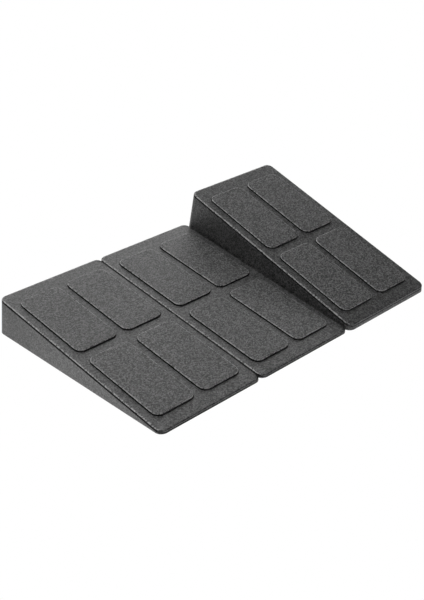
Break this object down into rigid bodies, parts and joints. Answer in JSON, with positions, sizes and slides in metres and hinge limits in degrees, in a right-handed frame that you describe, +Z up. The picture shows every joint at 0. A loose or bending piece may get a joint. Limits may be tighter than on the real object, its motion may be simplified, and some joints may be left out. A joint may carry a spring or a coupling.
{
  "type": "wedge ramp block set",
  "caption": "Loose moulded foam wedge blocks that stand side by side as short ramps or slant boards, each with raised grip pads bonded into its sloped deck.",
  "frame": {"origin": "middle of the set's footprint, on the floor", "axes": "+X across the blocks from the left low block to the tall block, +Y up the slope from the thin front lip to the high rear face, +Z up"},
  "size_m": [0.4666, 0.314, 0.1036],
  "materials": {
    "foam": "moulded charcoal bead foam, matt skin with faint bead outlines",
    "grip": "charcoal sheet with a fine pebbled grain, matt"
  },
  "bodies": {
    "low_middle": {"low_middle_block": "foam", "low_middle_pad_front_left": "grip", "low_middle_pad_front_right": "grip", "low_middle_pad_rear_left": "grip", "low_middle_pad_rear_right": "grip"},
    "low_left": {"low_left_block": "foam", "low_left_pad_front_left": "grip", "low_left_pad_front_right": "grip", "low_left_pad_rear_left": "grip", "low_left_pad_rear_right": "grip"},
    "tall": {"tall_block": "foam", "tall_pad_front_left": "grip", "tall_pad_front_right": "grip", "tall_pad_rear_left": "grip", "tall_pad_rear_right": "grip"}
  },
  "joints": [
    {"name": "low_left_slide", "type": "slide", "parent": "low_middle", "child": "low_left", "axis": [-1, 0, 0], "range_m": [0, 0.155]},
    {"name": "tall_slide", "type": "slide", "parent": "low_middle", "child": "tall", "axis": [1, 0, 0], "range_m": [0, 0.155]}
  ]
}
